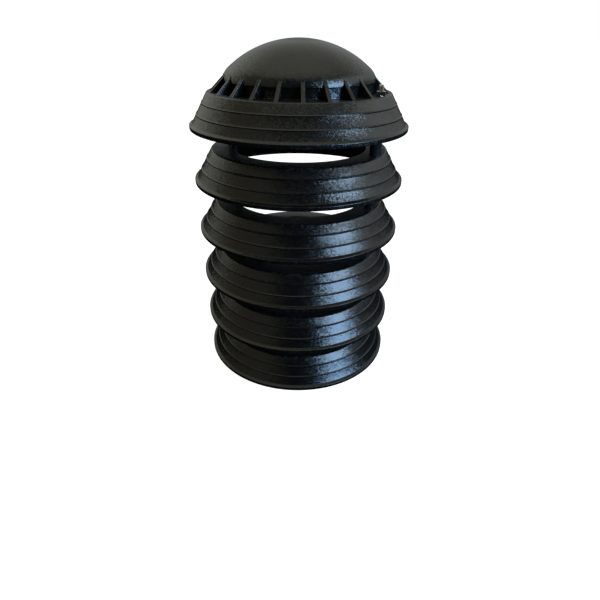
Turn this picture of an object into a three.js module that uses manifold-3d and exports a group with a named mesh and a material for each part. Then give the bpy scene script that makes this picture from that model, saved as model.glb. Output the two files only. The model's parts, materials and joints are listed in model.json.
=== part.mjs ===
// Louvred roof vent cover: a domed cap and five flared rings stacked on two threaded rods,
// with a spacer tube on each rod in every gap and a nut at each end of each rod.
// Millimetres, +Z up. The origin is the centre of the lowest lip, which stands on the roof.
// The front is -Y. Angles are measured from the front, towards +X.

import * as THREE from 'three';
import { mergeVertices } from 'three/addons/utils/BufferGeometryUtils.js';
import Module from 'manifold-3d';

const wasm = await Module();
wasm.setup();

// Stack
const LIP_RADIUS = 100.4;
const PITCH = 48;
const RING_COUNT = 5;

// Flared skirt, shared by the cap and the rings. Heights are above the skirt's own lip.
const CONE_FOOT_RADIUS = 98.8; // the cone's line, carried down behind the lip
const CONE_FOOT_HEIGHT = 2.75;
const CONE_SLOPE = 0.588; // radius lost for each millimetre of height
const SKIRT_WALL = 2.2; // measured level
const LIP_CHAMFER = 0.6;
const LIP_BAND_TOP = 3.2;
const LIP_EDGE = { radius: 99.9, height: 3.6 };
const LIP_LEDGE_TOP = 4.8;
const LIP_INNER_RADIUS = 96.6;
const RIDGE_HEIGHTS = [12, 21.3]; // the middle of each ridge's upright face
const RIDGE_HALF_HEIGHT = 0.45;
const RIDGE_LEDGE = 0.65; // the height its sloping top takes up
const CORNER_HEIGHT = 29.2;
const CORNER_MID = { radius: 82.5, height: 29.8 };
const FLANGE_RADIUS = 81.4;
const FLANGE_TOP = 30;
const FLANGE_THICKNESS = 3;
const FLANGE_UNDERSIDE = FLANGE_TOP - FLANGE_THICKNESS;
const HOLE_RADIUS = 64;

// Dome, above the cap's flange
const DOME_APEX = 70.9;
const DOME_RADIUS = 98.2;
const DOME_WALL = 2.6;
const SHOULDER_RADIUS = 13.4;
const SHOULDER_CENTRE = { radius: 54.6, height: 37.4 };
const WALL_STEP_HEIGHT = 38.5; // where the shoulder steps in to the wall below it
const WALL_STEP_CHAMFER = 0.8;
const WALL_FOOT_RADIUS = 67.1;

// Fins around the dome. The two rods take the places of two fins.
const FIN_PLACES = 24;
const FIN_START = 2.2; // degrees
const FIN_THICKNESS = 3.2;
const FIN_ROOT_RADIUS = 66.5;
const FIN_ROOT_HEIGHT = 43;
const FIN_TOP = { radius: 66.9, height: 43.6 };
const FIN_KNEE = { radius: 68, height: 41.6 };
const FIN_FOOT_RADIUS = 80.2;
const FIN_SINK = 1; // how far the foot runs into the flange

// Rods and what is on them
const ROD_ANGLES = { front: FIN_START + 60, back: FIN_START - 120 };
const ROD_CIRCLE_RADIUS = 76.7;
const ROD_RADIUS = 2.5;
const ROD_CHAMFER = 0.8;
const ROD_BELOW_NUT = 5;
const ROD_TOP = 38.6;
const CLEARANCE = 0.3;
const SPACER_RADIUS = 5.2;
const NUT_ACROSS_FLATS = 8;
const NUT_HEIGHT = 3.7;
const NUT_CHAMFER = 0.5;
const NUT_TURN = -15; // the angle of one of its corners

// Facets around a circle
const BODY_SEGMENTS = 48;
const SMALL_SEGMENTS = 16;
const NUT_SEGMENTS = 24;
const SHOULDER_STEPS = 4;
const DOME_STEPS = 7;

const plastic = () => new THREE.MeshStandardMaterial({ color: 0x1f2120, roughness: 0.5, metalness: 0 });
const sleeve = () => new THREE.MeshStandardMaterial({ color: 0x161817, roughness: 0.35, metalness: 0 });
const steel = () => new THREE.MeshStandardMaterial({ color: 0xb8b6ac, roughness: 0.3, metalness: 1 });

const point = (radius, height) => new THREE.Vector2(radius, height);

// A closed solid from a geometry whose faces point out.
function solid(geometry) {
  geometry.deleteAttribute('normal');
  geometry.deleteAttribute('uv');
  const merged = mergeVertices(geometry);
  return new wasm.Manifold(new wasm.Mesh({
    numProp: 3,
    vertProperties: merged.attributes.position.array,
    triVerts: Uint32Array.from(merged.index.array),
  }));
}

function toGeometry(manifold) {
  const mesh = manifold.getMesh();
  const geometry = new THREE.BufferGeometry();
  geometry.setAttribute('position', new THREE.BufferAttribute(mesh.vertProperties, 3));
  geometry.setIndex(new THREE.BufferAttribute(mesh.triVerts, 1));
  geometry.computeVertexNormals();
  return geometry;
}

// A solid turned about +Z from an outline of radius and height that runs anticlockwise.
function turned(outline, segments) {
  return solid(new THREE.LatheGeometry(outline, segments).rotateX(Math.PI / 2));
}

// A tube or disc with a bore, standing on z = 0.
function tube(outerRadius, boreRadius, height) {
  return turned([
    point(boreRadius, 0),
    point(outerRadius, 0),
    point(outerRadius, height),
    point(boreRadius, height),
    point(boreRadius, 0),
  ], SMALL_SEGMENTS);
}

// The place on the rod circle at an angle from the front.
function rodPlace(angle, height) {
  const turn = THREE.MathUtils.degToRad(angle);
  return [ROD_CIRCLE_RADIUS * Math.sin(turn), -ROD_CIRCLE_RADIUS * Math.cos(turn), height];
}

const coneRadius = (height) => CONE_FOOT_RADIUS - CONE_SLOPE * (height - CONE_FOOT_HEIGHT);

// The skirt's inner face, from the underside of the flange down to the lip.
function skirtInside() {
  return [
    point(coneRadius(FLANGE_UNDERSIDE) - SKIRT_WALL, FLANGE_UNDERSIDE),
    point(coneRadius(CONE_FOOT_HEIGHT) - SKIRT_WALL, CONE_FOOT_HEIGHT),
    point(LIP_INNER_RADIUS, 0),
  ];
}

// The skirt's outer face, from the lip up to the flat top of the flange.
function skirtOutside() {
  const ridges = RIDGE_HEIGHTS.flatMap((height) => {
    const low = height - RIDGE_HALF_HEIGHT;
    const high = height + RIDGE_HALF_HEIGHT;
    return [
      point(coneRadius(low), low),
      point(coneRadius(low), high),
      point(coneRadius(high + RIDGE_LEDGE), high + RIDGE_LEDGE),
    ];
  });
  return [
    point(LIP_RADIUS - LIP_CHAMFER, 0),
    point(LIP_RADIUS, LIP_CHAMFER),
    point(LIP_RADIUS, LIP_BAND_TOP),
    point(LIP_EDGE.radius, LIP_EDGE.height),
    point(coneRadius(LIP_LEDGE_TOP), LIP_LEDGE_TOP),
    ...ridges,
    point(coneRadius(CORNER_HEIGHT), CORNER_HEIGHT),
    point(CORNER_MID.radius, CORNER_MID.height),
    point(FLANGE_RADIUS, FLANGE_TOP),
  ];
}

// The dome from its shoulder to its apex, drawn in by `inset`. `startAngle` is measured from the
// axis at the shoulder's centre, and says where the shoulder begins.
function domeArc(inset, startAngle) {
  const centreHeight = DOME_APEX - DOME_RADIUS;
  const joinAngle = Math.atan2(SHOULDER_CENTRE.radius, SHOULDER_CENTRE.height - centreHeight);
  const shoulder = Array.from({ length: SHOULDER_STEPS }, (_, step) => {
    const angle = THREE.MathUtils.lerp(startAngle, joinAngle, step / SHOULDER_STEPS);
    const radius = SHOULDER_RADIUS - inset;
    return point(
      SHOULDER_CENTRE.radius + radius * Math.sin(angle),
      SHOULDER_CENTRE.height + radius * Math.cos(angle),
    );
  });
  const dome = Array.from({ length: DOME_STEPS + 1 }, (_, step) => {
    const angle = joinAngle * (1 - step / DOME_STEPS);
    const radius = DOME_RADIUS - inset;
    return point(radius * Math.sin(angle), centreHeight + radius * Math.cos(angle));
  });
  return [...shoulder, ...dome];
}

// One fin: a gusset that stands on the flange and leans against the dome's shoulder.
function fin(angle) {
  const foot = FLANGE_TOP - FIN_SINK;
  const outline = new THREE.Shape([
    point(FIN_ROOT_RADIUS, foot),
    point(FIN_FOOT_RADIUS, foot),
    point(FIN_FOOT_RADIUS, FLANGE_TOP),
    point(FIN_KNEE.radius, FIN_KNEE.height),
    point(FIN_TOP.radius, FIN_TOP.height),
    point(FIN_ROOT_RADIUS, FIN_ROOT_HEIGHT),
  ]);
  const geometry = new THREE.ExtrudeGeometry(outline, { depth: FIN_THICKNESS, bevelEnabled: false });
  geometry.translate(0, 0, -FIN_THICKNESS / 2).rotateX(Math.PI / 2);
  geometry.rotateZ(THREE.MathUtils.degToRad(angle - 90));
  return solid(geometry);
}

// Holes for both rods through a flange.
function rodHoles() {
  const holes = Object.values(ROD_ANGLES).map((angle) => {
    const [x, y, z] = rodPlace(angle, FLANGE_UNDERSIDE - 1);
    const geometry = new THREE.CylinderGeometry(
      ROD_RADIUS + CLEARANCE, ROD_RADIUS + CLEARANCE, FLANGE_THICKNESS + 2, SMALL_SEGMENTS,
    );
    geometry.rotateX(Math.PI / 2).translate(x, y, z + FLANGE_THICKNESS / 2 + 1);
    return solid(geometry);
  });
  return holes[0].add(holes[1]);
}

function louvreRing() {
  const outline = [
    point(HOLE_RADIUS, FLANGE_UNDERSIDE),
    ...skirtInside(),
    ...skirtOutside(),
    point(HOLE_RADIUS, FLANGE_TOP),
    point(HOLE_RADIUS, FLANGE_UNDERSIDE),
  ];
  return turned(outline, BODY_SEGMENTS).subtract(rodHoles());
}

function domedCap() {
  const stepAngle = Math.acos((WALL_STEP_HEIGHT - SHOULDER_CENTRE.height) / SHOULDER_RADIUS);
  const outline = [
    ...domeArc(DOME_WALL, Math.PI / 2).reverse(),
    point(SHOULDER_CENTRE.radius + SHOULDER_RADIUS - DOME_WALL, FLANGE_UNDERSIDE),
    ...skirtInside(),
    ...skirtOutside(),
    point(WALL_FOOT_RADIUS, FLANGE_TOP),
    point(WALL_FOOT_RADIUS, WALL_STEP_HEIGHT - WALL_STEP_CHAMFER),
    ...domeArc(0, stepAngle),
  ];
  let cap = turned(outline, BODY_SEGMENTS);
  const rodAngles = Object.values(ROD_ANGLES).map((angle) => (angle + 360) % 360);
  for (let index = 0; index < FIN_PLACES; index += 1) {
    const angle = FIN_START + index * (360 / FIN_PLACES);
    if (!rodAngles.some((rodAngle) => Math.abs(rodAngle - angle) < 1)) {
      cap = cap.add(fin(angle));
    }
  }
  return cap.subtract(rodHoles());
}

function threadedRod(length) {
  return turned([
    point(0, 0),
    point(ROD_RADIUS - ROD_CHAMFER, 0),
    point(ROD_RADIUS, ROD_CHAMFER),
    point(ROD_RADIUS, length - ROD_CHAMFER),
    point(ROD_RADIUS - ROD_CHAMFER, length),
    point(0, length),
  ], SMALL_SEGMENTS);
}

// A hexagon nut: a plain hexagonal prism with its corners turned off, and a clearance bore.
function nut() {
  const corner = NUT_ACROSS_FLATS / Math.sqrt(3);
  const hexagon = new THREE.CylinderGeometry(corner, corner, NUT_HEIGHT, 6)
    .rotateX(Math.PI / 2)
    .translate(0, 0, NUT_HEIGHT / 2);
  const blank = turned([
    point(0, 0),
    point(corner - NUT_CHAMFER, 0),
    point(corner, NUT_CHAMFER / 2),
    point(corner, NUT_HEIGHT - NUT_CHAMFER / 2),
    point(corner - NUT_CHAMFER, NUT_HEIGHT),
    point(0, NUT_HEIGHT),
  ], NUT_SEGMENTS);
  const bore = new THREE.CylinderGeometry(
    ROD_RADIUS + CLEARANCE, ROD_RADIUS + CLEARANCE, NUT_HEIGHT + 2, SMALL_SEGMENTS,
  ).rotateX(Math.PI / 2).translate(0, 0, NUT_HEIGHT / 2);
  return solid(hexagon).intersect(blank).subtract(solid(bore)).rotate([0, 0, NUT_TURN]);
}

const vent = new THREE.Group();

function place(name, manifold, material, position) {
  const mesh = new THREE.Mesh(toGeometry(manifold), material);
  mesh.name = name;
  mesh.position.set(...position);
  vent.add(mesh);
}

// The cap and, below it, the rings. Ring 1 is the highest.
const capHeight = RING_COUNT * PITCH;
place('domed_cap', domedCap(), plastic(), [0, 0, capHeight]);
for (let ring = 1; ring <= RING_COUNT; ring += 1) {
  place(`louvre_ring_${ring}`, louvreRing(), plastic(), [0, 0, capHeight - ring * PITCH]);
}

// Each rod with its five spacers and two nuts
const lowerNutHeight = FLANGE_UNDERSIDE - CLEARANCE - NUT_HEIGHT;
const rodFoot = lowerNutHeight - ROD_BELOW_NUT;
const spacerLength = PITCH - FLANGE_THICKNESS - 2 * CLEARANCE;
for (const [side, angle] of Object.entries(ROD_ANGLES)) {
  place(`${side}_rod`, threadedRod(capHeight + ROD_TOP - rodFoot), steel(), rodPlace(angle, rodFoot));
  for (let gap = 1; gap <= RING_COUNT; gap += 1) {
    const height = capHeight - gap * PITCH + FLANGE_TOP + CLEARANCE;
    const spacer = tube(SPACER_RADIUS, ROD_RADIUS + CLEARANCE, spacerLength);
    place(`${side}_spacer_${gap}`, spacer, sleeve(), rodPlace(angle, height));
  }
  const upperNutHeight = capHeight + FLANGE_TOP + CLEARANCE;
  place(`${side}_top_nut`, nut(), steel(), rodPlace(angle, upperNutHeight));
  place(`${side}_bottom_nut`, nut(), steel(), rodPlace(angle, lowerNutHeight));
}

export default vent;
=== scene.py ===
"""Roof vent cover: fine meshes, finishes, floor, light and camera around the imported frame.

Metres, +Z up, front towards -Y, in the frame's own coordinates. Outlines are written in
millimetres as (radius, height, fillet) corners and scaled by MM.
"""
import json
import math

import bmesh
import bpy
from mathutils import Matrix, Vector

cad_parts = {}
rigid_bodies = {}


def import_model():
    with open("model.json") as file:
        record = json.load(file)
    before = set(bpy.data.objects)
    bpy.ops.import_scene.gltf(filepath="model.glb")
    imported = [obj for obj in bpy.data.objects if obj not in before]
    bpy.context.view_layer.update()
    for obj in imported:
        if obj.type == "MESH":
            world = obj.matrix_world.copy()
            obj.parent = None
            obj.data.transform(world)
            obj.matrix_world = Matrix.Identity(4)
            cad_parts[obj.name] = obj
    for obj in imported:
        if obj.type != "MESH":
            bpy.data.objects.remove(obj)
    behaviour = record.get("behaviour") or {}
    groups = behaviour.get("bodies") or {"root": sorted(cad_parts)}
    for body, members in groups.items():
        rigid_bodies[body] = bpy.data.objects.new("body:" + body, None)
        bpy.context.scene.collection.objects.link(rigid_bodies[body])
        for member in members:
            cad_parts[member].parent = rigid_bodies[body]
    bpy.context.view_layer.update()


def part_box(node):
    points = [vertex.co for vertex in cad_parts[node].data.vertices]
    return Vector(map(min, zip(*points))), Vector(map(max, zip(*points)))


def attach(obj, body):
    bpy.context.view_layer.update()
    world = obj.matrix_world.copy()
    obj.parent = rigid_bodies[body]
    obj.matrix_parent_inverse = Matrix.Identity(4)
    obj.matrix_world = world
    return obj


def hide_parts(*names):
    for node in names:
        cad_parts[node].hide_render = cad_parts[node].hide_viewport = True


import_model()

MM = 0.001

# Skirt, shared by the cap and the rings. Heights are above the skirt's own lip.
LIP_RADIUS = 100.4
LIP_ROUND = 0.8
LIP_BAND_TOP = 3.5
LIP_LEDGE_TOP = 4.8
LIP_INNER_RADIUS = 96.6
CONE_FOOT_RADIUS = 98.8
CONE_FOOT_HEIGHT = 2.75
CONE_SLOPE = 0.588
SKIRT_WALL = 2.2
FLANGE_TOP = 30
RIDGE_HEIGHTS = (12, 21.3)
RIDGE_HALF_HEIGHT = 0.45
RIDGE_LEDGE = 0.65
TOP_ROUND = 1.8
FLANGE_UNDERSIDE = 27
LIP_EDGE_ROUND = 0.4
LEDGE_ROUND = 1.2
RIDGE_FOOT_ROUND = 0.12
RIDGE_EDGE_ROUND = 0.15
RIDGE_LEDGE_ROUND = 0.5
LIP_INNER_ROUND = 0.5
SKIRT_INNER_ROUND = 1.5
FLANGE_INNER_ROUND = 1.2
HOLE_RADIUS = 64
HOLE_TOP_ROUND = 0.5
HOLE_UNDERSIDE_ROUND = 0.4

# Dome, above the cap's flange
DOME_APEX = 70.9
DOME_RADIUS = 98.2
DOME_WALL = 2.6
SHOULDER_RADIUS = 13.4
SHOULDER_AXIS = 54.6
SHOULDER_HEIGHT = 37.4
WALL_STEP_HEIGHT = 38.5
WALL_STEP_CHAMFER = 0.8
WALL_FOOT_RADIUS = 67.1
WALL_FOOT_ROUND = 0.5
WALL_STEP_ROUND = 0.2
WALL_INNER_ROUND = 0.8

# Fins
FIN_PLACES = 24
FIN_START = 2.2
FIN_THICKNESS = 3.2
FIN_ROOT_RADIUS = 66.5
FIN_ROOT_HEIGHT = 43
FIN_TOP = (66.9, 43.6)
FIN_KNEE = (68, 41.6)
FIN_FOOT_RADIUS = 80.2
FIN_SINK = 1
FIN_ROUND = 0.35

# Rods, spacers and nuts
ROD_RADIUS = 2.5
ROD_HOLE_RADIUS = 2.8
THREAD_PITCH = 0.8
THREAD_DEPTH = 0.49
THREAD_LENGTH = 13
THREAD_STEPS = 10
CREST_HALF = 0.06  # a share of the pitch, as the next one
FLANK_WIDTH = 0.32
TIP_LENGTH = 1.3
TIP_FLAT = 0.3
SPACER_RADIUS = 5.2
SPACER_BORE = 2.7
SPACER_BORE_ROUND = 0.2
SPACER_EDGE_ROUND = 0.4
NUT_FLATS = 8
NUT_BORE = 2.55
NUT_COUNTERSINK = 0.45
NUT_FACE = 0.96
NUT_SLOPE = math.tan(math.radians(30))
NUT_TURN = math.radians(-15)
CONTACT_GAP = 0.3
SEAT = 0.02

# Steps of the meshes
BODY_SEGMENTS = 288
TUBE_SEGMENTS = 64
ROD_SEGMENTS = 40
NUT_SEGMENTS = 96
ARC_STEP = math.radians(15)
FILLET_REACH = 0.48  # the most of an edge that a fillet takes up
DOME_STEP = math.radians(2.5)
SMOOTH_ANGLE = math.radians(40)
WORN_ANGLE = math.radians(20)  # an edge that turns this much is fully worn

# Stage, in metres. The window's angles are in degrees.
FLOOR_REACH = 6.0
FLOOR_DROP = 0.0003
LIGHT_DISTANCE = 1.6
LIGHT_TARGET = Vector((0, 0, 0.15))
WINDOW_AZIMUTH = 53.5
WINDOW_WIDTH = 31
WINDOW_PANES = {  # elevation, height, colour and radiance
    "window_low": (8, 8, (0.31, 0.60, 1.0), 16.0),
    "window_middle": (19, 14, (0.40, 0.66, 1.0), 14.5),
    "window_high": (29.5, 7, (0.50, 0.72, 1.0), 15.0),
    "window_top": (38, 10, (0.60, 0.80, 1.0), 1.2),
}
EYE = Vector((0, -0.4359, 0.3153))
EYE_PITCH = 0.5502  # radians, as the next two
EYE_YAW = 0.006
EYE_ROLL = 0.0101
SENSOR_WIDTH = 36  # millimetres, as the next one
FOCAL_LENGTH = 26.285


# ---------------------------------------------------------------- outlines

def arc(centre, radius, start, end, step):
    """Points on an arc about centre, both ends included."""
    count = max(1, math.ceil(abs(end - start) / step))
    angles = (start + (end - start) * i / count for i in range(count + 1))
    return [(centre[0] + radius * math.cos(a), centre[1] + radius * math.sin(a)) for a in angles]


def rounded(corners):
    """The points of a closed outline of (radius, height, fillet) corners."""
    points = []
    for i, (radius, height, fillet) in enumerate(corners):
        here = Vector((radius, height))
        before = Vector(corners[i - 1][:2]) - here
        after = Vector(corners[(i + 1) % len(corners)][:2]) - here
        if not fillet:
            points.append((radius, height))
            continue
        half = before.angle(after) / 2
        reach = min(fillet / math.tan(half), FILLET_REACH * before.length,
                    FILLET_REACH * after.length)
        inward = (before.normalized() + after.normalized()).normalized()
        centre = here + inward * (reach / math.cos(half))
        first = here + before.normalized() * reach - centre
        last = here + after.normalized() * reach - centre
        start = math.atan2(first.y, first.x)
        turn = (math.atan2(last.y, last.x) - start + math.pi) % (2 * math.pi) - math.pi
        points += arc(centre, first.length, start, start + turn, ARC_STEP)
    return points


def cone_radius(height):
    return CONE_FOOT_RADIUS - CONE_SLOPE * (height - CONE_FOOT_HEIGHT)


def skirt_corners():
    """The skirt from the flange's underside, round the lip and up to the flange's top."""
    ridges = []
    for height in RIDGE_HEIGHTS:
        low, high = height - RIDGE_HALF_HEIGHT, height + RIDGE_HALF_HEIGHT
        ridges += [
            (cone_radius(low), low, RIDGE_FOOT_ROUND),
            (cone_radius(low), high, RIDGE_EDGE_ROUND),
            (cone_radius(high + RIDGE_LEDGE), high + RIDGE_LEDGE, RIDGE_LEDGE_ROUND),
        ]
    return [
        (cone_radius(FLANGE_UNDERSIDE) - SKIRT_WALL, FLANGE_UNDERSIDE, FLANGE_INNER_ROUND),
        (cone_radius(CONE_FOOT_HEIGHT) - SKIRT_WALL, CONE_FOOT_HEIGHT, SKIRT_INNER_ROUND),
        (LIP_INNER_RADIUS, 0, LIP_INNER_ROUND),
        (LIP_RADIUS, 0, LIP_ROUND),
        (LIP_RADIUS, LIP_BAND_TOP, LIP_EDGE_ROUND),
        (cone_radius(LIP_LEDGE_TOP), LIP_LEDGE_TOP, LEDGE_ROUND),
        *ridges,
        (cone_radius(FLANGE_TOP), FLANGE_TOP, TOP_ROUND),
    ]


def ring_outline():
    return rounded([
        (HOLE_RADIUS, FLANGE_UNDERSIDE, HOLE_UNDERSIDE_ROUND),
        *skirt_corners(),
        (HOLE_RADIUS, FLANGE_TOP, HOLE_TOP_ROUND),
    ])


def dome_arc(inset, start):
    """From the shoulder, at start above level, over to the axis, drawn in by inset."""
    centre_height = DOME_APEX - DOME_RADIUS
    join = math.atan2(SHOULDER_HEIGHT - centre_height, SHOULDER_AXIS)
    shoulder = arc((SHOULDER_AXIS, SHOULDER_HEIGHT), SHOULDER_RADIUS - inset, start, join,
                   DOME_STEP * 2)
    dome = arc((0, centre_height), DOME_RADIUS - inset, join, math.pi / 2, DOME_STEP)
    return shoulder[:-1] + dome[:-1] + [(0, DOME_APEX - inset)]


def cap_outline():
    """From the inner apex out to the lip and back over the dome to the outer apex."""
    inner_wall = SHOULDER_AXIS + SHOULDER_RADIUS - DOME_WALL
    inside = list(reversed(dome_arc(DOME_WALL, 0)))
    step = math.asin((WALL_STEP_HEIGHT - SHOULDER_HEIGHT) / SHOULDER_RADIUS)
    start = step + DOME_STEP
    body = rounded([
        (inner_wall, SHOULDER_HEIGHT, 0),
        (inner_wall, FLANGE_UNDERSIDE, WALL_INNER_ROUND),
        *skirt_corners(),
        (WALL_FOOT_RADIUS, FLANGE_TOP, WALL_FOOT_ROUND),
        (WALL_FOOT_RADIUS, WALL_STEP_HEIGHT - WALL_STEP_CHAMFER, WALL_STEP_ROUND),
        (SHOULDER_AXIS + SHOULDER_RADIUS * math.cos(step), WALL_STEP_HEIGHT, WALL_STEP_ROUND),
        (SHOULDER_AXIS + SHOULDER_RADIUS * math.cos(start),
         SHOULDER_HEIGHT + SHOULDER_RADIUS * math.sin(start), 0),
    ])
    return inside[:-1] + body[:-1] + dome_arc(0, start)


# ---------------------------------------------------------------- meshes

def turn_outline(outline, segments, centre, closed):
    """A mesh of an outline, anticlockwise in radius and height, turned about a vertical axis."""
    mesh = bmesh.new()
    poles = {i: mesh.verts.new(centre + Vector((0, 0, height * MM)))
             for i, (radius, height) in enumerate(outline) if radius < 1e-6}
    columns = []
    for s in range(segments):
        angle = 2 * math.pi * s / segments
        out = Vector((math.sin(angle), -math.cos(angle), 0)) * MM
        columns.append([
            poles[i] if i in poles
            else mesh.verts.new(centre + out * radius + Vector((0, 0, height * MM)))
            for i, (radius, height) in enumerate(outline)
        ])
    steps = len(outline) if closed else len(outline) - 1
    for s in range(segments):
        here, there = columns[s], columns[(s + 1) % segments]
        for i in range(steps):
            j = (i + 1) % len(outline)
            corners = dict.fromkeys((here[i], there[i], there[j], here[j]))
            if len(corners) > 2:
                mesh.faces.new(corners)
    return mesh


def join_meshes(parts):
    """All the parts in one mesh. The parts are freed."""
    whole = bmesh.new()
    for part in parts:
        moved = {v: whole.verts.new(v.co) for v in part.verts}
        for face in part.faces:
            whole.faces.new([moved[v] for v in face.verts])
        part.free()
    return whole


def combine(base, tool, operation):
    """base with tool added to it or cut away from it. Both are freed."""
    blanks = []
    for part in (base, tool):
        data = bpy.data.meshes.new("blank")
        part.to_mesh(data)
        part.free()
        blank = bpy.data.objects.new("blank", data)
        bpy.context.scene.collection.objects.link(blank)
        blanks.append(blank)
    modifier = blanks[0].modifiers.new("combine", "BOOLEAN")
    modifier.object = blanks[1]
    modifier.operation = operation
    modifier.solver = "MANIFOLD"
    result = bmesh.new()
    result.from_object(blanks[0], bpy.context.evaluated_depsgraph_get())
    for blank in blanks:
        data = blank.data
        bpy.data.objects.remove(blank)
        bpy.data.meshes.remove(data)
    return result


def fin_mesh(angle, lift):
    """A gusset on the flange that leans on the dome's shoulder, its outer edges rounded."""
    foot = FLANGE_TOP - FIN_SINK
    outline = [
        (FIN_ROOT_RADIUS, foot),
        (FIN_FOOT_RADIUS, foot),
        (FIN_FOOT_RADIUS, FLANGE_TOP),
        FIN_KNEE,
        FIN_TOP,
        (FIN_ROOT_RADIUS, FIN_ROOT_HEIGHT),
    ]
    mesh = bmesh.new()
    half = FIN_THICKNESS / 2
    sides = [[mesh.verts.new((x * MM, -radius * MM, height * MM)) for radius, height in outline]
             for x in (-half, half)]
    mesh.faces.new(reversed(sides[0]))
    mesh.faces.new(sides[1])
    for i in range(len(outline)):
        j = (i + 1) % len(outline)
        mesh.faces.new((sides[0][i], sides[0][j], sides[1][j], sides[1][i]))
    mesh.normal_update()
    long_edges = [mesh.edges.get(side[i:i + 2]) for side in sides for i in (2, 3)]
    bmesh.ops.bevel(mesh, geom=long_edges, offset=FIN_ROUND * MM, segments=3, profile=0.5,
                    affect="EDGES")
    bmesh.ops.recalc_face_normals(mesh, faces=mesh.faces)
    turn = Matrix.Rotation(math.radians(angle), 4, "Z")
    bmesh.ops.transform(mesh, matrix=Matrix.Translation((0, 0, lift)) @ turn, verts=mesh.verts)
    return mesh


def axis_of(node):
    """The foot of a node's own vertical axis, and its height in millimetres."""
    low, high = (Vector(corner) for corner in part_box(node))
    return Vector(((low.x + high.x) / 2, (low.y + high.y) / 2, low.z)), (high.z - low.z) / MM


def rod_holes(lift):
    """Cutters for both rods through the flange above lift."""
    outline = [(0, FLANGE_UNDERSIDE - 1), (ROD_HOLE_RADIUS, FLANGE_UNDERSIDE - 1),
               (ROD_HOLE_RADIUS, FLANGE_TOP + 1), (0, FLANGE_TOP + 1)]
    holes = []
    for side in ("front", "back"):
        foot, _ = axis_of(f"{side}_rod")
        foot.z = lift
        holes.append(turn_outline(outline, ROD_SEGMENTS, foot, closed=False))
    return join_meshes(holes)


def cap_mesh():
    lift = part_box("domed_cap")[0][2]
    body = turn_outline(cap_outline(), BODY_SEGMENTS, Vector((0, 0, lift)), closed=False)
    taken = []
    for side in ("front", "back"):
        foot, _ = axis_of(f"{side}_rod")
        taken.append(math.degrees(math.atan2(foot.x, -foot.y)) % 360)
    angles = [FIN_START + i * 360 / FIN_PLACES for i in range(FIN_PLACES)]
    fins = [fin_mesh(a, lift) for a in angles if all(abs(a - rod) > 1 for rod in taken)]
    finned = combine(body, join_meshes(fins), "UNION")
    return combine(finned, rod_holes(lift), "DIFFERENCE")


def ring_mesh(node):
    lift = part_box(node)[0][2]
    body = turn_outline(ring_outline(), BODY_SEGMENTS, Vector((0, 0, lift)), closed=True)
    return combine(body, rod_holes(lift), "DIFFERENCE")


def spacer_mesh(node):
    """A tube that fills the gap between two flanges."""
    foot, height = axis_of(node)
    low, high = SEAT - CONTACT_GAP, height + CONTACT_GAP - SEAT
    outline = rounded([
        (SPACER_BORE, low, SPACER_BORE_ROUND),
        (SPACER_RADIUS, low, SPACER_EDGE_ROUND),
        (SPACER_RADIUS, high, SPACER_EDGE_ROUND),
        (SPACER_BORE, high, SPACER_BORE_ROUND),
    ])
    return turn_outline(outline, TUBE_SEGMENTS, foot, closed=True)


def thread_radius(height, angle, length):
    """The rod's radius: V thread near both ends, a plain shank between, a rounded tip."""
    from_end = min(height, length - height)
    radius = ROD_RADIUS
    if from_end < THREAD_LENGTH:
        phase = (height / THREAD_PITCH - angle / (2 * math.pi)) % 1
        flank = min(1, max(0, (abs(phase - 0.5) - CREST_HALF) / FLANK_WIDTH))
        fade = min(1, (THREAD_LENGTH - from_end) / THREAD_PITCH)
        radius -= THREAD_DEPTH * flank * fade
    if from_end < TIP_LENGTH:
        drop = (1 - from_end / TIP_LENGTH) ** 2
        radius = min(radius, ROD_RADIUS * math.sqrt(1 - (1 - TIP_FLAT) * drop))
    return radius


def rod_mesh(node):
    foot, length = axis_of(node)
    step = THREAD_PITCH / THREAD_STEPS
    count = round(THREAD_LENGTH / step)
    lower = [i * step for i in range(count + 1)]
    heights = lower + [length - height for height in reversed(lower)]
    mesh = bmesh.new()
    levels = []
    for height in heights:
        level = []
        for s in range(ROD_SEGMENTS):
            angle = 2 * math.pi * s / ROD_SEGMENTS
            out = Vector((math.cos(angle), math.sin(angle), 0))
            out *= thread_radius(height, angle, length)
            level.append(mesh.verts.new(foot + (out + Vector((0, 0, height))) * MM))
        levels.append(level)
    for below, above in zip(levels, levels[1:]):
        for s in range(ROD_SEGMENTS):
            t = (s + 1) % ROD_SEGMENTS
            mesh.faces.new((below[s], below[t], above[t], above[s]))
    mesh.faces.new(reversed(levels[0]))
    mesh.faces.new(levels[-1])
    return mesh


def nut_mesh(node, seat):
    """A hexagon nut with both faces chamfered, moved by seat so that it bears on the flange."""
    foot, height = axis_of(node)
    foot.z += seat * MM
    half = NUT_FLATS / 2
    mesh = bmesh.new()
    columns = []
    for s in range(NUT_SEGMENTS):
        angle = 2 * math.pi * s / NUT_SEGMENTS
        hexagon = half / math.cos((angle % (math.pi / 3)) - math.pi / 6)
        cut = (hexagon - NUT_FACE * half) * NUT_SLOPE
        out = Vector((math.sin(angle + NUT_TURN), -math.cos(angle + NUT_TURN), 0))
        outline = [
            (NUT_BORE, NUT_COUNTERSINK), (NUT_BORE + NUT_COUNTERSINK, 0),
            (NUT_FACE * half, 0), (hexagon, cut),
            (hexagon, height - cut), (NUT_FACE * half, height),
            (NUT_BORE + NUT_COUNTERSINK, height), (NUT_BORE, height - NUT_COUNTERSINK),
        ]
        columns.append([mesh.verts.new(foot + (out * radius + Vector((0, 0, level))) * MM)
                        for radius, level in outline])
    for s in range(NUT_SEGMENTS):
        here, there = columns[s], columns[(s + 1) % NUT_SEGMENTS]
        for i in range(len(here)):
            j = (i + 1) % len(here)
            mesh.faces.new((here[i], there[i], there[j], here[j]))
    return mesh


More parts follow.
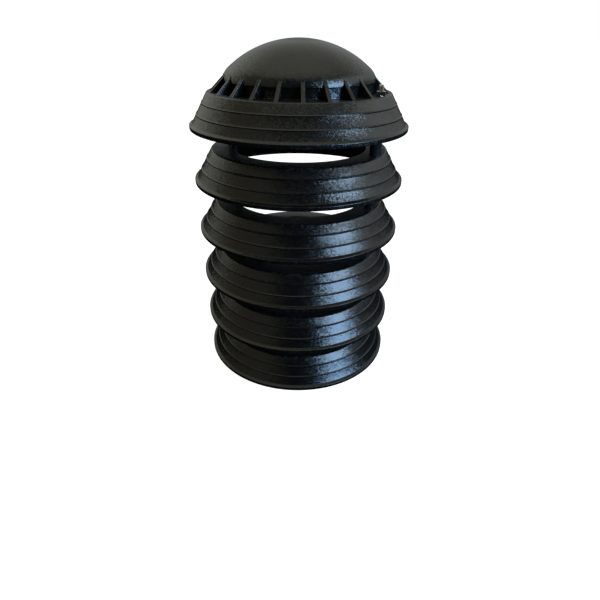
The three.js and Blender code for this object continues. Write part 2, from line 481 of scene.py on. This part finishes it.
def mark_wear(mesh):
    """A value on each vertex: how sharply the surface turns outwards there."""
    layer = mesh.verts.layers.float.new("wear")
    for vertex in mesh.verts:
        turns = [edge.calc_face_angle_signed(0) for edge in vertex.link_edges]
        vertex[layer] = min(1, max(0, *turns) / WORN_ANGLE)


def add_piece(name, node, mesh, material):
    mesh.normal_update()
    mark_wear(mesh)
    data = bpy.data.meshes.new(name)
    mesh.to_mesh(data)
    mesh.free()
    data.polygons.foreach_set("use_smooth", [True] * len(data.polygons))
    data.set_sharp_from_angle(angle=SMOOTH_ANGLE)
    data.materials.append(material)
    piece = bpy.data.objects.new(name, data)
    bpy.context.scene.collection.objects.link(piece)
    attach(piece, "root")
    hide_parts(node)


# ---------------------------------------------------------------- finishes

class Nodes:
    """Short calls for building one node tree."""

    def __init__(self, owner):
        owner.use_nodes = True
        self.tree = owner.node_tree
        self.tree.nodes.clear()

    def add(self, kind, settings=None, **inputs):
        node = self.tree.nodes.new(kind)
        for key, value in (settings or {}).items():
            setattr(node, key, value)
        for key, value in inputs.items():
            self.put(node.inputs[key.replace("_", " ")], value)
        return node

    def put(self, socket, value):
        if isinstance(value, bpy.types.NodeSocket):
            self.tree.links.new(value, socket)
        else:
            socket.default_value = value

    def math(self, operation, first, second=0.0):
        node = self.tree.nodes.new("ShaderNodeMath")
        node.operation = operation
        self.put(node.inputs[0], first)
        self.put(node.inputs[1], second)
        return node.outputs[0]

    def vector(self, operation, first, second=(0, 0, 0), scale=1.0):
        node = self.tree.nodes.new("ShaderNodeVectorMath")
        node.operation = operation
        self.put(node.inputs[0], first)
        self.put(node.inputs[1], second)
        self.put(node.inputs[3], scale)
        return node.outputs["Vector"]

    def dot(self, first, second):
        node = self.add("ShaderNodeVectorMath", {"operation": "DOT_PRODUCT"})
        self.put(node.inputs[0], first)
        self.put(node.inputs[1], second)
        return node.outputs["Value"]

    def noise(self, place, scale, detail=2.0, roughness=0.5):
        return self.add("ShaderNodeTexNoise", Vector=place, Scale=scale, Detail=detail,
                        Roughness=roughness).outputs["Fac"]

    def spread(self, value, low, high, to_low, to_high):
        """value, from low to high, onto to_low to to_high, with soft ends."""
        node = self.add("ShaderNodeMapRange", {"interpolation_type": "SMOOTHSTEP"})
        for socket, given in zip(node.inputs, (value, low, high, to_low, to_high)):
            self.put(socket, given)
        return node.outputs["Result"]

    def blend(self, share, first, second):
        node = self.add("ShaderNodeMix", {"data_type": "RGBA"})
        self.put(node.inputs[0], share)
        self.put(node.inputs[6], first)
        self.put(node.inputs[7], second)
        return node.outputs[2]


def moulded_plastic():
    """Black plastic with a spark-eroded grain of small facets, a little rubbed along its edges.

    The grain is fainter on level faces and on the sides of the fins.
    """
    material = bpy.data.materials.new("black_moulded_plastic")
    nodes = Nodes(material)
    place = nodes.add("ShaderNodeTexCoord").outputs["Object"]
    wear = nodes.add("ShaderNodeAttribute", {"attribute_name": "wear"}).outputs["Fac"]
    out = nodes.add("ShaderNodeTexCoord").outputs["Normal"]
    upward = nodes.add("ShaderNodeSeparateXYZ", Vector=out).outputs["Z"]
    facets = nodes.add("ShaderNodeTexVoronoi", Vector=place, Scale=1150.0).outputs["Color"]
    fine = nodes.noise(place, 2600.0, 1.0)
    cloud = nodes.noise(place, 45.0, 3.0)
    scuffs = nodes.noise(place, 260.0, 4.0, 0.65)
    rubbed = nodes.math("MULTIPLY", wear, nodes.spread(scuffs, 0.46, 0.64, 0.0, 1.0))
    tint = nodes.blend(nodes.spread(cloud, 0.3, 0.7, 0.0, 1.0),
                       (0.0020, 0.0021, 0.0019, 1), (0.0032, 0.0032, 0.0030, 1))
    color = nodes.blend(nodes.math("MULTIPLY", rubbed, 0.55), tint, (0.04, 0.04, 0.038, 1))
    rough = nodes.math("ADD", nodes.spread(cloud, 0.25, 0.75, 0.19, 0.24),
                       nodes.math("MULTIPLY", rubbed, 0.12))
    rough = nodes.math("ADD", rough, nodes.spread(upward, 0.97, 0.995, 0.0, 0.14))
    bump = nodes.add("ShaderNodeBump", Strength=1.0, Distance=0.00005, Height=fine)
    around = nodes.vector("CROSS_PRODUCT", nodes.vector("MULTIPLY", place, (1, 1, 0)), (0, 0, 1))
    sideways = nodes.math("ABSOLUTE", nodes.dot(out, nodes.vector("NORMALIZE", around)))
    depth = nodes.math("MULTIPLY", nodes.spread(upward, 0.7, 0.98, 0.17, 0.05),
                       nodes.spread(sideways, 0.5, 0.9, 1.0, 0.1))
    lean = nodes.vector("SCALE", nodes.vector("SUBTRACT", facets, (0.5, 0.5, 0.5)), scale=depth)
    normal = nodes.vector("NORMALIZE", nodes.vector("ADD", bump.outputs["Normal"], lean))
    shader = nodes.add("ShaderNodeBsdfPrincipled", Base_Color=color, Roughness=rough, IOR=1.5,
                       Normal=normal)
    nodes.add("ShaderNodeOutputMaterial", Surface=shader.outputs["BSDF"])
    return material


def tube_plastic():
    """Smooth black tube, with faint drawing lines along it."""
    material = bpy.data.materials.new("black_tube_plastic")
    nodes = Nodes(material)
    place = nodes.add("ShaderNodeTexCoord").outputs["Object"]
    wear = nodes.add("ShaderNodeAttribute", {"attribute_name": "wear"}).outputs["Fac"]
    stretched = nodes.add("ShaderNodeMapping", Vector=place, Scale=(1.0, 1.0, 0.03))
    lines = nodes.noise(stretched.outputs["Vector"], 1500.0, 2.0)
    cloud = nodes.noise(place, 90.0, 3.0)
    color = nodes.blend(nodes.math("MULTIPLY", wear, cloud), (0.008, 0.008, 0.009, 1),
                        (0.03, 0.03, 0.03, 1))
    rough = nodes.math("ADD", nodes.spread(cloud, 0.3, 0.7, 0.13, 0.2),
                       nodes.math("MULTIPLY", lines, 0.06))
    bump = nodes.add("ShaderNodeBump", Strength=0.3, Distance=0.00003, Height=lines)
    shader = nodes.add("ShaderNodeBsdfPrincipled", Base_Color=color, Roughness=rough, IOR=1.5,
                       Normal=bump.outputs["Normal"])
    nodes.add("ShaderNodeOutputMaterial", Surface=shader.outputs["BSDF"])
    return material


def zinc_plate():
    """Bright zinc on steel, slightly yellowed, duller in patches and brighter on its edges."""
    material = bpy.data.materials.new("zinc_plated_steel")
    nodes = Nodes(material)
    place = nodes.add("ShaderNodeTexCoord").outputs["Object"]
    wear = nodes.add("ShaderNodeAttribute", {"attribute_name": "wear"}).outputs["Fac"]
    cloud = nodes.noise(place, 420.0, 3.0)
    pits = nodes.noise(place, 5200.0, 2.0)
    tint = nodes.blend(nodes.spread(cloud, 0.35, 0.65, 0.0, 1.0),
                       (0.56, 0.53, 0.45, 1), (0.72, 0.70, 0.64, 1))
    color = nodes.blend(nodes.math("MULTIPLY", wear, 0.5), tint, (0.86, 0.85, 0.82, 1))
    rough = nodes.spread(cloud, 0.3, 0.7, 0.1, 0.18)
    bump = nodes.add("ShaderNodeBump", Strength=0.35, Distance=0.00003, Height=pits)
    shader = nodes.add("ShaderNodeBsdfPrincipled", Base_Color=color, Metallic=1.0, Roughness=rough,
                       Normal=bump.outputs["Normal"])
    nodes.add("ShaderNodeOutputMaterial", Surface=shader.outputs["BSDF"])
    return material


# ---------------------------------------------------------------- stage

def floor():
    """A plain white floor. It is bright to the camera and dim in the object's reflections."""
    mesh = bmesh.new()
    bmesh.ops.create_grid(mesh, x_segments=1, y_segments=1, size=FLOOR_REACH)
    data = bpy.data.meshes.new("floor")
    mesh.to_mesh(data)
    mesh.free()
    sheet = bpy.data.objects.new("floor", data)
    sheet.location.z = -FLOOR_DROP
    bpy.context.scene.collection.objects.link(sheet)
    material = bpy.data.materials.new("white_floor")
    nodes = Nodes(material)
    seen = nodes.add("ShaderNodeLightPath").outputs["Is Camera Ray"]
    dim = nodes.add("ShaderNodeBsdfDiffuse", Color=(0.02, 0.02, 0.021, 1)).outputs["BSDF"]
    glow = nodes.add("ShaderNodeEmission", Color=(1, 1, 1, 1), Strength=0.9).outputs["Emission"]
    paint = nodes.add("ShaderNodeBsdfDiffuse", Color=(0.6, 0.6, 0.6, 1)).outputs["BSDF"]
    bright = nodes.tree.nodes.new("ShaderNodeAddShader")
    nodes.put(bright.inputs[0], glow)
    nodes.put(bright.inputs[1], paint)
    mixed = nodes.tree.nodes.new("ShaderNodeMixShader")
    for socket, value in zip(mixed.inputs, (seen, dim, bright.outputs[0])):
        nodes.put(socket, value)
    nodes.add("ShaderNodeOutputMaterial", Surface=mixed.outputs[0])
    data.materials.append(material)


def room():
    """The world: white to the camera, and in reflections a dim room.

    It has a grey ceiling, a pale wall behind, a warm one on the left and a bright one on the right.
    """
    world = bpy.data.worlds.new("room")
    bpy.context.scene.world = world
    nodes = Nodes(world)
    direction = nodes.add("ShaderNodeTexCoord").outputs["Generated"]
    split = nodes.add("ShaderNodeSeparateXYZ", Vector=direction)
    x, y, z = split.outputs["X"], split.outputs["Y"], split.outputs["Z"]
    above = nodes.spread(z, -0.03, 0.04, 0.0, 1.0)
    ceiling = nodes.spread(z, 0.7, 0.97, 0.0, 0.7)
    behind = nodes.math("MULTIPLY", nodes.spread(y, -0.05, 0.55, 0.0, 0.46),
                        nodes.spread(z, 0.0, 0.4, 0.5, 1.0))
    left = nodes.spread(x, -0.2, -0.62, 0.0, 0.26)
    right = nodes.math("MULTIPLY", nodes.spread(x, 0.5, 0.85, 0.0, 1.2),
                       nodes.spread(z, 0.0, 0.55, 0.0, 1.0))
    cool = nodes.math("MAXIMUM", nodes.math("MAXIMUM", ceiling, behind), right)
    cool = nodes.math("ADD", cool, 0.015)
    cool = nodes.math("MULTIPLY", cool, above)
    warm = nodes.math("MULTIPLY", left, above)
    tint = nodes.blend(nodes.spread(z, 0.3, 0.95, 0.0, 1.0),
                       (0.94, 1.0, 0.98, 1), (1.0, 0.99, 0.82, 1))
    cool_light = nodes.add("ShaderNodeBackground", Color=tint, Strength=cool)
    warm_light = nodes.add("ShaderNodeBackground", Color=(1.0, 0.93, 0.66, 1), Strength=warm)
    lit = nodes.tree.nodes.new("ShaderNodeAddShader")
    nodes.put(lit.inputs[0], cool_light.outputs[0])
    nodes.put(lit.inputs[1], warm_light.outputs[0])
    white = nodes.add("ShaderNodeBackground", Color=(1, 1, 1, 1), Strength=1.0)
    seen = nodes.add("ShaderNodeLightPath").outputs["Is Camera Ray"]
    mixed = nodes.tree.nodes.new("ShaderNodeMixShader")
    for socket, value in zip(mixed.inputs, (seen, lit.outputs[0], white.outputs[0])):
        nodes.put(socket, value)
    nodes.add("ShaderNodeOutputWorld", Surface=mixed.outputs[0])


def left_out(pieces):
    """A collection that keeps its pieces out of a light that takes it as its receivers."""
    group = bpy.data.collections.new("left_out")
    for piece in pieces:
        group.objects.link(piece)
    for member in group.collection_objects:
        member.light_linking.link_state = "EXCLUDE"
    return group


def window_pane(name, elevation, tall, color, radiance, unlit):
    """A rectangular light on a sphere about the object. unlit is a collection it leaves dark."""
    turn, rise = math.radians(WINDOW_AZIMUTH), math.radians(elevation)
    away = Vector((math.sin(turn) * math.cos(rise), -math.cos(turn) * math.cos(rise),
                   math.sin(rise)))
    lamp = bpy.data.lights.new(name, "AREA")
    lamp.shape = "RECTANGLE"
    lamp.size = 2 * LIGHT_DISTANCE * math.tan(math.radians(WINDOW_WIDTH / 2))
    lamp.size_y = 2 * LIGHT_DISTANCE * math.tan(math.radians(tall / 2))
    lamp.color = color
    lamp.energy = radiance * math.pi * lamp.size * lamp.size_y
    light = bpy.data.objects.new(name, lamp)
    light.location = LIGHT_TARGET + away * LIGHT_DISTANCE
    light.rotation_euler = away.to_track_quat("Z", "Y").to_euler()
    light.visible_camera = False
    light.light_linking.receiver_collection = unlit
    bpy.context.scene.collection.objects.link(light)


def camera():
    """The eye is just above the dome's top, looking down at the stack."""
    lens = bpy.data.cameras.new("camera")
    lens.sensor_width = SENSOR_WIDTH
    lens.lens = FOCAL_LENGTH
    lens.clip_start = 0.01
    view = bpy.data.objects.new("camera", lens)
    turn = (Matrix.Rotation(-EYE_YAW, 4, "Z") @ Matrix.Rotation(math.pi / 2 - EYE_PITCH, 4, "X")
            @ Matrix.Rotation(EYE_ROLL, 4, "Z"))
    view.matrix_world = Matrix.Translation(EYE) @ turn
    bpy.context.scene.collection.objects.link(view)
    bpy.context.scene.camera = view


# ---------------------------------------------------------------- the scene

body, tube, zinc = moulded_plastic(), tube_plastic(), zinc_plate()
add_piece("cap_moulding", "domed_cap", cap_mesh(), body)
for ring in range(1, 6):
    node = f"louvre_ring_{ring}"
    add_piece(f"ring_{ring}_moulding", node, ring_mesh(node), body)
for side in ("front", "back"):
    node = f"{side}_rod"
    add_piece(f"{node}_threaded", node, rod_mesh(node), zinc)
    for gap in range(1, 6):
        node = f"{side}_spacer_{gap}"
        add_piece(f"{node}_tube", node, spacer_mesh(node), tube)
    for level, seat in (("top", SEAT - CONTACT_GAP), ("bottom", CONTACT_GAP - SEAT)):
        node = f"{side}_{level}_nut"
        add_piece(f"{node}_hex", node, nut_mesh(node, seat), zinc)

floor()
room()
zinc_pieces = [piece for piece in bpy.data.objects if piece.name.endswith(("_hex", "_threaded"))]
unlit_zinc = left_out(zinc_pieces)
for name, (elevation, tall, color, radiance) in WINDOW_PANES.items():
    window_pane(name, elevation, tall, color, radiance, unlit_zinc)
camera()
bpy.context.scene.view_settings.view_transform = "Standard"
